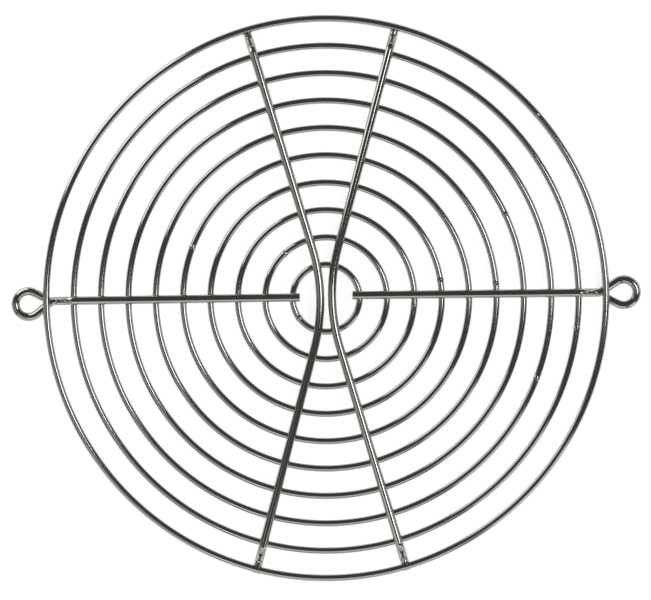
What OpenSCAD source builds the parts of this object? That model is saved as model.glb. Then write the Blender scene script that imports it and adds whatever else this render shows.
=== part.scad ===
// Wire finger guard for a round axial fan.
//
// Concentric rings of drawn wire lie in one plane. Two bent spokes and two ribs
// cross over the inner rings, step down past the last of them and run on behind
// the outer ring, where each rib closes in an eye for a mounting screw. Every
// crossing is a resistance weld, which sinks the two wires a little into each
// other.
//
// The guard lies flat. Z = 0 is the plane that meets the fan, +Z is the outer
// face, the origin is at the middle of the guard and both screws lie on X.

/* [Fan] */
// Distance between the two mounting screws
screw_spacing = 162; // [160:1:180]
// Diameter of the mounting screws
screw_d = 4; // [3:0.5:5]
// Clearance of an eye round its screw, on the diameter
screw_clearance = 0.7; // [0.3:0.1:1.5]

/* [Wire] */
// Diameter of the wire in the rings inside the outer one
ring_wire_d = 1.8; // [1.3:0.1:2.2]
// Diameter of the wire in the outer ring
outer_ring_wire_d = 1.9; // [1.3:0.1:2.4]
// Diameter of the wire in the spokes and ribs
rib_wire_d = 2.3; // [1.7:0.1:2.6]
// Depth that two crossing wires sink into each other at their weld
weld_set_down = 0.3; // [0.1:0.05:0.5]

/* [Rings] */
// Number of rings
ring_count = 10; // [6:1:11]
// Outside diameter of the outer ring
outer_ring_d = 154; // [140:1:156]
// Outside diameter of the innermost ring
inner_ring_d = 20; // [14:1:30]
// Height that a ring's butt weld stands proud of its wire
butt_weld_h = 0.1; // [0.05:0.05:0.3]

/* [Spokes] */
// Clear gap between the two spokes at the middle
spoke_gap = 0.9; // [0.4:0.1:5]
// Angle of each arm of a spoke from the Y axis
spoke_angle = 15.7; // [8:0.1:30]
// Radius of the bend in the middle of a spoke, to the middle of its wire
spoke_bend_r = 50; // [10:1:80]
// Length that the ends of a spoke stand out past the outer ring
spoke_overhang = 0.2; // [0:0.1:1]
// Distance from the middle of the last inner ring to the start of a spoke's step
spoke_step_start = 0.8; // [0.4:0.1:1.2]
// Distance inside the outer ring at which a spoke's step ends
spoke_step_inset = 1.7; // [1.4:0.1:2.2]

/* [Ribs] */
// Distance from the middle of the last inner ring to the start of a rib's step
rib_step_start = 0.2; // [0.2:0.1:1]
// Length that the inner end of a rib stands in past the innermost ring
rib_overhang = 1.1; // [0:0.1:2]
// Distance that the line of the right rib passes above the middle of the guard
right_rib_rise = 0.7; // [0:0.1:1]
// Angle at which the right rib slopes down to its eye
right_rib_skew = 0.5; // [0:0.1:1.5]
// Distance that the line of the left rib passes above the middle of the guard
left_rib_rise = 0.3; // [0:0.1:1]
// Angle at which the left rib slopes up past its eye
left_rib_skew = 0.3; // [0:0.1:1.5]

/* [Step down to the outer ring] */
// Radius of the upper bend of a step, to the middle of the wire
step_top_r = 1.75; // [1.5:0.05:3]
// Radius of the lower bend of a step, to the middle of the wire
step_foot_r = 2.6; // [1.5:0.1:3]

/* [Eyes] */
// Distance inside the outer ring of the corner at which the wire turns to its eye
eye_lead_inset = 1.6; // [1:0.1:2.5]
// Length of wire that the turn takes up on either side of that corner
eye_lead_turn = 0.6; // [0.5:0.05:1]
// Distance inside the outer ring at which the returning wire aims
eye_return_inset = 2.7; // [2:0.1:4]
// Clear gap between the cut end of the eye and the wire that leads to it
eye_end_gap = 0.3; // [0.1:0.1:0.6]

/* [Hidden] */
// Rings, by the middle of their wire
outer_ring_r = (outer_ring_d - outer_ring_wire_d) / 2;
inner_ring_r = (inner_ring_d - ring_wire_d) / 2;
ring_pitch = (outer_ring_r - inner_ring_r) / (ring_count - 1);

// Where each ring was closed, as an angle from the X axis, innermost ring first
butt_weld_angles = [215, 132, -6, 8, 158, 4, 24, -22, -8, 40, 60];

// Levels, by the middle of the wire
low_z = rib_wire_d / 2;
ring_z = low_z + weld_reach(outer_ring_wire_d);
high_z = ring_z + weld_reach(ring_wire_d);

// Eyes
eye_x = screw_spacing / 2;
eye_r = (screw_d + screw_clearance + rib_wire_d) / 2;
lead_x = outer_ring_r - eye_lead_inset;
return_x = outer_ring_r - eye_return_inset;
return_angle = asin(eye_r / (eye_x - return_x));

// Steps. The two bends may take up nearly all of the room, and the straight
// between them has the rest.
step_fill = 0.95;
last_inner_r = ring_r(ring_count - 1);
spoke_step_run = outer_ring_r - spoke_step_inset - spoke_step_start - last_inner_r;
rib_step_run = lead_x - eye_lead_turn - rib_step_start - last_inner_r;
step_h = high_z - low_z;
step_fit = min(1, step_fill * step_room(min(spoke_step_run, rib_step_run)) / (step_top_r + step_foot_r));
top_r = step_fit * step_top_r;
foot_r = step_fit * step_foot_r;

// Spokes: their two arms would meet at spoke_x, were it not for the bend
spoke_x = (spoke_gap + rib_wire_d) / 2 - spoke_bend_r * (1 / cos(spoke_angle) - 1);
spoke_tangent = spoke_bend_r * tan(spoke_angle);
spoke_end = arm_to_radius(outer_ring_d / 2 + spoke_overhang);

$fn = 48;

// Height and width of the collar at each joint of a bent wire
collar_h = 0.01;
collar_w = 0.1;

// Radius and wire of ring number i, counted from the middle
function ring_r(i) = inner_ring_r + (i - 1) * ring_pitch;
function wire_d(i) = i == ring_count ? outer_ring_wire_d : ring_wire_d;

// Distance between the middles of a ring's wire and the wire welded across it
function weld_reach(d) = (rib_wire_d + d) / 2 - weld_set_down;

// Largest radius that the two bends of a step can add up to on its run, and the
// length and slope of the straight between them
function step_room(run) = (run * run + step_h * step_h) / (2 * step_h);
function step_slant(run) =
    sqrt(run * run + step_h * step_h - 2 * (top_r + foot_r) * step_h);
function step_angle(run) =
    atan2(top_r + foot_r, step_slant(run)) - atan2(top_r + foot_r - step_h, run);

// Length along a spoke's arm, from where the arms would meet, to a radius
function arm_to_radius(r) =
    sqrt(r * r - pow(spoke_x * cos(spoke_angle), 2)) - spoke_x * sin(spoke_angle);

// Middle of a rib's eye, from the corner at which the rib's wire turns off to
// it, along the rib and across it
function eye_place(rise, skew) =
    [eye_x * cos(skew) + rise * sin(skew) - lead_x, eye_x * sin(skew) - rise * cos(skew)];

// A length of wire along +X, bent as a bending machine forms it. Each entry of
// bends is [feed, turn, angle, radius]: feed the wire straight, turn the tool
// about the wire, then bend the wire towards +Y. A hair-thin collar makes one
// solid of each straight and the bend that it runs into.
module bent_wire(d, bends, i = 0) {
    feed = bends[i][0];
    turn = bends[i][1];
    angle = bends[i][2];
    radius = bends[i][3];
    if (i > 0) collar(d);
    if (feed > 0)
        rotate([0, 90, 0]) cylinder(d = d, h = feed);
    if (angle > 0)
        translate([feed, 0, 0]) rotate([turn, 0, 0]) {
            if (feed > 0) collar(d);
            translate([0, radius, 0]) rotate([0, 0, -90])
                rotate_extrude(angle = angle, $fn = 180)
                    translate([radius, 0]) circle(d = d);
            if (i + 1 < len(bends))
                translate([radius * sin(angle), radius * (1 - cos(angle)), 0])
                    rotate([0, 0, angle]) bent_wire(d, bends, i + 1);
        }
}

// Joins the straight and the bend that meet here
module collar(d) {
    rotate([0, 90, 0]) cylinder(d = d + 2 * collar_h, h = collar_w, center = true);
}

// The wire of ring number i
module ring_wire(i) {
    translate([0, 0, ring_z])
        rotate_extrude($fn = 180)
            translate([ring_r(i), 0]) circle(d = wire_d(i));
}

// Ring number i, with the bead of its butt weld
module ring(i) {
    color("silver") {
        ring_wire(i);
        rotate([0, 0, butt_weld_angles[i - 1]]) translate([ring_r(i), 0, ring_z])
            sphere(d = wire_d(i) + 2 * butt_weld_h);
    }
}

// Cuts the seats that the welded rings press into a spoke or a rib
module seated_on_rings() {
    difference() {
        children();
        for (i = [1:ring_count]) ring_wire(i);
    }
}

// Right-hand spoke, from its upper end to its lower one
module spoke() {
    step_x = arm_to_radius(last_inner_r + spoke_step_start);
    level_run = step_x - spoke_tangent;
    end_run = spoke_end - step_x - spoke_step_run;
    slant = step_slant(spoke_step_run);
    slope = step_angle(spoke_step_run);
    color("gainsboro") seated_on_rings()
        translate([spoke_x + spoke_end * sin(spoke_angle), spoke_end * cos(spoke_angle), low_z])
            rotate([0, 0, -90 - spoke_angle])
                bent_wire(rib_wire_d, [
                    [end_run, 90, slope, foot_r],
                    [slant, 180, slope, top_r],
                    [level_run, 90, 2 * spoke_angle, spoke_bend_r],
                    [level_run, -90, slope, top_r],
                    [slant, 180, slope, foot_r],
                    [end_run, 0, 0, 0]
                ]);
}

// Right-hand rib with its eye, from its inner end. The rise lifts its line, the
// skew turns it clockwise, and its eye stays on the screw.
module rib(rise, skew) {
    start_x = inner_ring_d / 2 - ring_wire_d - rib_overhang;
    slope = step_angle(rib_step_run);
    place = eye_place(rise, skew);
    lead_run = norm(place);
    angle = asin(eye_r / lead_run) + atan2(place[1], place[0]);
    spread = angle + return_angle - skew;
    lead_straight = sqrt(lead_run * lead_run - eye_r * eye_r) - eye_lead_turn;
    end_room = (rib_wire_d / 2 * (1 + cos(spread)) + eye_end_gap) / sin(spread);
    return_straight = eye_r / tan(spread / 2) - end_room;
    color("gainsboro") seated_on_rings()
        translate([0, rise, high_z]) rotate([0, 0, -skew]) translate([start_x, 0, 0])
            bent_wire(rib_wire_d, [
                [last_inner_r + rib_step_start - start_x, -90, slope, top_r],
                [step_slant(rib_step_run), 180, slope, foot_r],
                [0, -90, angle, eye_lead_turn / tan(angle / 2)],
                [lead_straight, 180, 180 + spread, eye_r],
                [return_straight, 0, 0, 0]
            ]);
}

module spoke_right() { spoke(); }
module spoke_left() { rotate([0, 0, 180]) spoke(); }
module rib_right() { rib(right_rib_rise, right_rib_skew); }
module rib_left() { rotate([0, 0, 180]) rib(-left_rib_rise, left_rib_skew); }

for (i = [1:ring_count])
    ring(i);
spoke_left();
spoke_right();
rib_left();
rib_right();
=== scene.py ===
from math import asin, atan2, ceil, cos, hypot, pi, radians, sin, sqrt, tan

import bmesh
import bpy
from mathutils import Matrix, Vector


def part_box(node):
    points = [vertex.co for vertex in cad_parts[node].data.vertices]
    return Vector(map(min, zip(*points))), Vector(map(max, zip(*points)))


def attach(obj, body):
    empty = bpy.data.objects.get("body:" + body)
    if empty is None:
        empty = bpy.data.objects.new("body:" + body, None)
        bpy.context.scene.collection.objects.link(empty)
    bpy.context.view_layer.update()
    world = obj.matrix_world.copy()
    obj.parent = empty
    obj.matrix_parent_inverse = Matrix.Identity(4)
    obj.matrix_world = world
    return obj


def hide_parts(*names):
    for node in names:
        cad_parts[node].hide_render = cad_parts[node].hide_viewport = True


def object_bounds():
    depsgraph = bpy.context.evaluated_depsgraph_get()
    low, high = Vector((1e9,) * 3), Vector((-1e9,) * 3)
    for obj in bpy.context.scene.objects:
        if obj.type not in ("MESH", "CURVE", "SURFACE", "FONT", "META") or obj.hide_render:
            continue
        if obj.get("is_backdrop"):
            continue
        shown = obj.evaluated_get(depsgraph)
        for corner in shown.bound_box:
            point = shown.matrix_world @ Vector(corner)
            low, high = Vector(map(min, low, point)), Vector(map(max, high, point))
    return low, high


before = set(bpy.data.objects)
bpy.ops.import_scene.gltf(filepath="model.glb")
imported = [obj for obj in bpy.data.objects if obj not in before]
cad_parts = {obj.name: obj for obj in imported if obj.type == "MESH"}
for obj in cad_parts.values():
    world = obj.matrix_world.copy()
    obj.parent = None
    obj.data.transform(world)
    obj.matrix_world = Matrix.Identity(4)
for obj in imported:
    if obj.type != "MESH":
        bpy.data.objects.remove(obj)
cad_low, cad_high = (list(corner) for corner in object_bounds())


# The guard lies flat, so the camera looks straight down on it from far away.
# A small roll sets the line of its screws off level, the right-hand eye higher.
guard_x, guard_y = ((cad_low[i] + cad_high[i]) / 2 for i in (0, 1))
ring_low, ring_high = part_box("ring_10")
ring_z = (ring_low.z + ring_high.z) / 2
camera_height = 1.5
camera_left, camera_below = 0.00019, 0.0005
camera_roll = radians(-1.14)
view_width = 0.1769

camera = bpy.data.objects.new("camera", bpy.data.cameras.new("camera"))
bpy.context.scene.collection.objects.link(camera)
bpy.context.scene.camera = camera
camera.data.lens = camera.data.sensor_width * camera_height / view_width
camera.location = (guard_x - camera_left, guard_y - camera_below, ring_z + camera_height)
camera.rotation_euler = (0, 0, camera_roll)
camera.data.clip_start, camera.data.clip_end = 0.01, 20


# Dark studio, as bright metal is lit. A narrow soft box high on the right draws
# the bright line down each wire. Pale panels stand low round the rest, the front
# ones close by, so that each wire has a light flank and a dark back.
def soft_box(name, azimuth, from_vertical, distance, wide, tall, radiance):
    lamp = bpy.data.lights.new(name, "AREA")
    lamp.shape, lamp.size, lamp.size_y = "RECTANGLE", wide, tall
    lamp.energy = radiance * pi * wide * tall
    box = bpy.data.objects.new(name, lamp)
    box.visible_camera = False
    bpy.context.scene.collection.objects.link(box)
    outward = Matrix.Rotation(radians(azimuth), 3, "Z") @ Vector(
        (sin(radians(from_vertical)), 0, cos(radians(from_vertical)))
    )
    box.location = Vector((guard_x, guard_y, 0)) + outward * distance
    box.rotation_euler = outward.to_track_quat("Z", "Y").to_euler()


soft_box("strip_right", 13, 26, 1.2, 0.32, 0.24, 7)
soft_box("panel_right", 12, 60, 1.2, 0.45, 1.0, 0.36)
soft_box("panel_front", 272, 59, 0.28, 0.24, 0.22, 0.8)
soft_box("panel_front_left", 229, 60, 0.32, 0.19, 0.36, 0.5)
soft_box("panel_left", 192, 52, 1.2, 0.5, 1.4, 0.3)
soft_box("panel_back_left", 138, 72, 0.19, 0.12, 0.11, 1.9)
soft_box("panel_front_right", 316, 66, 0.4, 0.16, 0.33, 1.0)

wall_glow = (0.08, 0.079, 0.077, 1)
world = bpy.data.worlds.new("studio")
bpy.context.scene.world = world
world.use_nodes = True
world.node_tree.nodes["Background"].inputs["Color"].default_value = wall_glow
bpy.context.scene.view_settings.view_transform = "Standard"


# Sweep of matt white paper under the guard. It has no sheen, stays white to the
# camera and in the metal, and still takes the soft shadow of the wires.
def colour(code):
    levels = [int(code[i : i + 2], 16) / 255 for i in (0, 2, 4)]
    return [c / 12.92 if c <= 0.04045 else ((c + 0.055) / 1.055) ** 2.4 for c in levels] + [1]


def add_node(material, kind, settings={}, inputs={}):
    node = material.node_tree.nodes.new(kind)
    for setting, value in settings.items():
        setattr(node, setting, value)
    for socket, value in inputs.items():
        if isinstance(value, bpy.types.NodeSocket):
            material.node_tree.links.new(value, node.inputs[socket])
        else:
            node.inputs[socket].default_value = value
    return node


paper_glow = 0.75
paper = bpy.data.materials.new("matt white paper")
paper.use_nodes = True
matt = paper.node_tree.nodes["Principled BSDF"]
matt.inputs["Base Color"].default_value = colour("f4f4f3")
matt.inputs["Roughness"].default_value = 0.9
matt.inputs["Specular IOR Level"].default_value = 0
matt.inputs["Emission Color"].default_value = colour("ffffff")
ray = add_node(paper, "ShaderNodeLightPath").outputs
seen = add_node(
    paper,
    "ShaderNodeMath",
    {"operation": "MAXIMUM"},
    {0: ray["Is Camera Ray"], 1: ray["Is Glossy Ray"]},
)
shown = add_node(
    paper,
    "ShaderNodeMath",
    {"operation": "MAXIMUM"},
    {0: seen.outputs[0], 1: ray["Is Transmission Ray"]},
)
glow = add_node(
    paper, "ShaderNodeMath", {"operation": "MULTIPLY"}, {0: shown.outputs[0], 1: paper_glow}
)
paper.node_tree.links.new(glow.outputs[0], matt.inputs["Emission Strength"])

mesh = bpy.data.meshes.new("floor")
bm = bmesh.new()
bmesh.ops.create_grid(bm, x_segments=1, y_segments=1, size=6)
bm.to_mesh(mesh)
bm.free()
floor = bpy.data.objects.new("floor", mesh)
bpy.context.scene.collection.objects.link(floor)
floor.location.z = cad_low[2]
mesh.materials.append(paper)
floor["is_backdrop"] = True


# Ten rings of drawn steel wire, the outer one a little thicker. Each is rolled
# round and closed by an upset butt weld, which leaves a low bead where its two
# ends met. They lie in one plane, and are plated once the guard is welded up.
wire_r = {n: 0.00095 if n == 10 else 0.0009 for n in range(1, 11)}
wire_sides = 64
ring_fineness = 1800  # facets round a ring, over the root of its radius
bead_angle = {1: 215, 2: 132, 3: -6, 4: 8, 5: 158, 6: 4, 7: 24, 8: -22, 9: -8, 10: 40}
bead_h, bead_reach, bead_steps = 0.0001, 0.0009, 24
same_place = 1e-6

# Bright chrome over drawn steel gives the eye one crisp pale line down each wire,
# a soft grey flank beside it and a near black one where no light is mirrored.
plated = bpy.data.materials.new("bright chrome plated steel wire")
plated.use_nodes = True
chrome = plated.node_tree.nodes["Principled BSDF"]
chrome.inputs["Base Color"].default_value = colour("b7b5b2")
chrome.inputs["Metallic"].default_value = 1
chrome.inputs["Roughness"].default_value = 0.1
chrome.inputs["Specular Tint"].default_value = colour("b0b0b0")

ring_r = {}
for number, angle in bead_angle.items():
    low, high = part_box(f"ring_{number}")
    radius = min(high.x - low.x, high.y - low.y) / 2 - wire_r[number]
    ring_r[number] = radius
    bead_turn = 2 * bead_reach / radius
    place = Matrix.Translation((guard_x, guard_y, ring_z)) @ Matrix.Rotation(
        radians(angle) - bead_turn / 2, 4, "Z"
    )
    bm = bmesh.new()
    bmesh.ops.create_circle(
        bm,
        segments=wire_sides,
        radius=wire_r[number],
        matrix=place @ Matrix.Translation((radius, 0, 0)) @ Matrix.Rotation(pi / 2, 4, "X"),
    )
    end = list(bm.verts) + list(bm.edges)
    size = wire_r[number]
    for step in range(1, bead_steps + 1):
        end = bmesh.ops.spin(
            bm,
            geom=end,
            cent=place.translation,
            axis=(0, 0, 1),
            angle=bead_turn / bead_steps,
            steps=1,
        )["geom_last"]
        swollen = wire_r[number] + bead_h * sin(pi * step / bead_steps) ** 4
        so_far = Matrix.Rotation(bead_turn * step / bead_steps, 4, "Z")
        middle = place @ so_far @ Vector((radius, 0, 0))
        bmesh.ops.scale(
            bm,
            vec=[swollen / size] * 3,
            space=Matrix.Translation(-middle),
            verts=[g for g in end if isinstance(g, bmesh.types.BMVert)],
        )
        size = swollen
    bmesh.ops.spin(
        bm,
        geom=end,
        cent=place.translation,
        axis=(0, 0, 1),
        angle=2 * pi - bead_turn,
        steps=ceil(sqrt(radius) * ring_fineness),
    )
    bmesh.ops.remove_doubles(bm, verts=bm.verts, dist=same_place)
    bmesh.ops.recalc_face_normals(bm, faces=bm.faces)
    for face in bm.faces:
        face.smooth = True
    mesh = bpy.data.meshes.new(f"ring_{number}_wire")
    bm.to_mesh(mesh)
    bm.free()
    mesh.materials.append(plated)
    ring = bpy.data.objects.new(f"ring_{number}_wire", mesh)
    bpy.context.scene.collection.objects.link(ring)
    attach(ring, "root")
    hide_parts(f"ring_{number}")


# Two spokes, each one length of thicker wire from edge to edge. It is bowed at
# the middle, steps down past the last inner ring and runs on behind the outer
# one. It is welded to each ring, and the two wires sink into each other there.
cross_wire_r = 0.00115
set_down = 0.0003
low_z = ring_z - (cross_wire_r + wire_r[10] - set_down)
high_z = ring_z + (cross_wire_r + wire_r[9] - set_down)
step_h = high_z - low_z
step_top_r, step_foot_r = 0.00175, 0.0026
bend_facet = radians(2)
end_round = 0.0002


# Length and slope of the straight between the two bends of a step.
def step_straight(run):
    both_r = step_top_r + step_foot_r
    slant = sqrt(run**2 + step_h**2 - 2 * both_r * step_h)
    return slant, atan2(both_r, slant) - atan2(both_r - step_h, run)


# A wire bender's work: feed the wire, turn it, then bend it on a radius. Each cut
# end is flat, with its rim a little rounded.
def bent_wire(name, start, bends):
    tool = Matrix.Translation((guard_x, guard_y, 0)) @ start
    bm = bmesh.new()
    bmesh.ops.create_circle(
        bm,
        cap_ends=True,
        segments=wire_sides,
        radius=cross_wire_r,
        matrix=tool @ Matrix.Rotation(pi / 2, 4, "Y"),
    )
    rim = list(bm.edges)
    for feed, turn, angle, radius in bends:
        if feed > 0:
            made = bmesh.ops.extrude_edge_only(bm, edges=rim)["geom"]
            rim = [g for g in made if isinstance(g, bmesh.types.BMEdge)]
            bmesh.ops.translate(
                bm,
                verts=[g for g in made if isinstance(g, bmesh.types.BMVert)],
                vec=tool.to_3x3() @ Vector((feed, 0, 0)),
            )
        tool = tool @ Matrix.Translation((feed, 0, 0)) @ Matrix.Rotation(turn, 4, "X")
        if angle > 0:
            made = bmesh.ops.spin(
                bm,
                geom=rim,
                cent=tool @ Vector((0, radius, 0)),
                axis=tool.to_3x3() @ Vector((0, 0, 1)),
                angle=angle,
                steps=ceil(angle / bend_facet),
            )["geom_last"]
            rim = [g for g in made if isinstance(g, bmesh.types.BMEdge)]
            pin = Matrix.Translation((0, radius, 0))
            tool = tool @ pin @ Matrix.Rotation(angle, 4, "Z") @ pin.inverted()
    bmesh.ops.contextual_create(bm, geom=rim)
    bmesh.ops.recalc_face_normals(bm, faces=bm.faces)
    bmesh.ops.bevel(
        bm,
        geom=[edge for face in bm.faces if len(face.verts) > 4 for edge in face.edges],
        offset=end_round,
        segments=4,
        profile=0.5,
        affect="EDGES",
        material=-1,
    )
    for face in bm.faces:
        face.smooth = len(face.verts) <= 4
    mesh = bpy.data.meshes.new(name + "_wire")
    bm.to_mesh(mesh)
    bm.free()
    mesh.materials.append(plated)
    wire = bpy.data.objects.new(name + "_wire", mesh)
    bpy.context.scene.collection.objects.link(wire)
    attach(wire, "root")
    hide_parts(name)


# The arms of a spoke would meet at spoke_x, were it not for the bow. Its upper
# end is cut back to the outer ring, and its lower end stands a little past it.
spoke_gap, spoke_angle, spoke_bend_r = 0.0009, radians(15.7), 0.05
spoke_overhang, upper_trim = 0.0002, 0.0005
spoke_step_start, spoke_step_inset = 0.0008, 0.0017
spoke_x = spoke_gap / 2 + cross_wire_r - spoke_bend_r * (1 / cos(spoke_angle) - 1)


def arm_to_radius(r):
    return sqrt(r**2 - (spoke_x * cos(spoke_angle)) ** 2) - spoke_x * sin(spoke_angle)


spoke_end = arm_to_radius(ring_r[10] + wire_r[10] + spoke_overhang)
step_x = arm_to_radius(ring_r[9] + spoke_step_start)
step_run = ring_r[10] - spoke_step_inset - ring_r[9] - spoke_step_start
level_run = step_x - spoke_bend_r * tan(spoke_angle)
end_run = spoke_end - step_x - step_run
slant, slope = step_straight(step_run)
upper_end = Matrix.Translation(
    (spoke_x + spoke_end * sin(spoke_angle), spoke_end * cos(spoke_angle), low_z)
) @ Matrix.Rotation(-pi / 2 - spoke_angle, 4, "Z")
for name, turned, first_trim, last_trim in (
    ("spoke_right", 0, upper_trim, 0),
    ("spoke_left", pi, 0, upper_trim),
):
    bent_wire(
        name,
        Matrix.Rotation(turned, 4, "Z") @ upper_end @ Matrix.Translation((first_trim, 0, 0)),
        [
            (end_run - first_trim, pi / 2, slope, step_foot_r),
            (slant, pi, slope, step_top_r),
            (level_run, pi / 2, 2 * spoke_angle, spoke_bend_r),
            (level_run, -pi / 2, slope, step_top_r),
            (slant, pi, slope, step_foot_r),
            (end_run - last_trim, 0, 0, 0),
        ],
    )


# Two ribs of the same wire, welded across the rings from near the middle out.
# Each steps down as a spoke does and ends past the outer ring in an eye for a
# screw, bent nearly shut. Each runs on its own line, slightly off and tilted.
rib_overhang, rib_step_start = 0.0011, 0.0002
eye_r, lead_turn, end_gap = 0.0035, 0.0006, 0.0003
lead_inset, return_inset = 0.0016, 0.0027
eye_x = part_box("rib_right")[1].x - guard_x - eye_r - cross_wire_r
lead_x, return_x = ring_r[10] - lead_inset, ring_r[10] - return_inset
return_angle = asin(eye_r / (eye_x - return_x))
rib_start = ring_r[1] - wire_r[1] - rib_overhang
step_x = ring_r[9] + rib_step_start
slant, slope = step_straight(lead_x - lead_turn - step_x)
for name, turned, rise, skew in (
    ("rib_right", 0, 0.0007, radians(0.5)),
    ("rib_left", pi, -0.0003, radians(0.3)),
):
    eye_across = eye_x * sin(skew) - rise * cos(skew)
    eye_along = eye_x * cos(skew) + rise * sin(skew) - lead_x
    lead_run = hypot(eye_along, eye_across)
    angle = asin(eye_r / lead_run) + atan2(eye_across, eye_along)
    spread = angle + return_angle - skew
    end_room = (cross_wire_r * (1 + cos(spread)) + end_gap) / sin(spread)
    bent_wire(
        name,
        Matrix.Rotation(turned, 4, "Z")
        @ Matrix.Translation((0, rise, high_z))
        @ Matrix.Rotation(-skew, 4, "Z")
        @ Matrix.Translation((rib_start, 0, 0)),
        [
            (step_x - rib_start, -pi / 2, slope, step_top_r),
            (slant, pi, slope, step_foot_r),
            (0, -pi / 2, angle, lead_turn / tan(angle / 2)),
            (sqrt(lead_run**2 - eye_r**2) - lead_turn, pi, pi + spread, eye_r),
            (eye_r / tan(spread / 2) - end_room, 0, 0, 0),
        ],
    )


low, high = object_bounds()
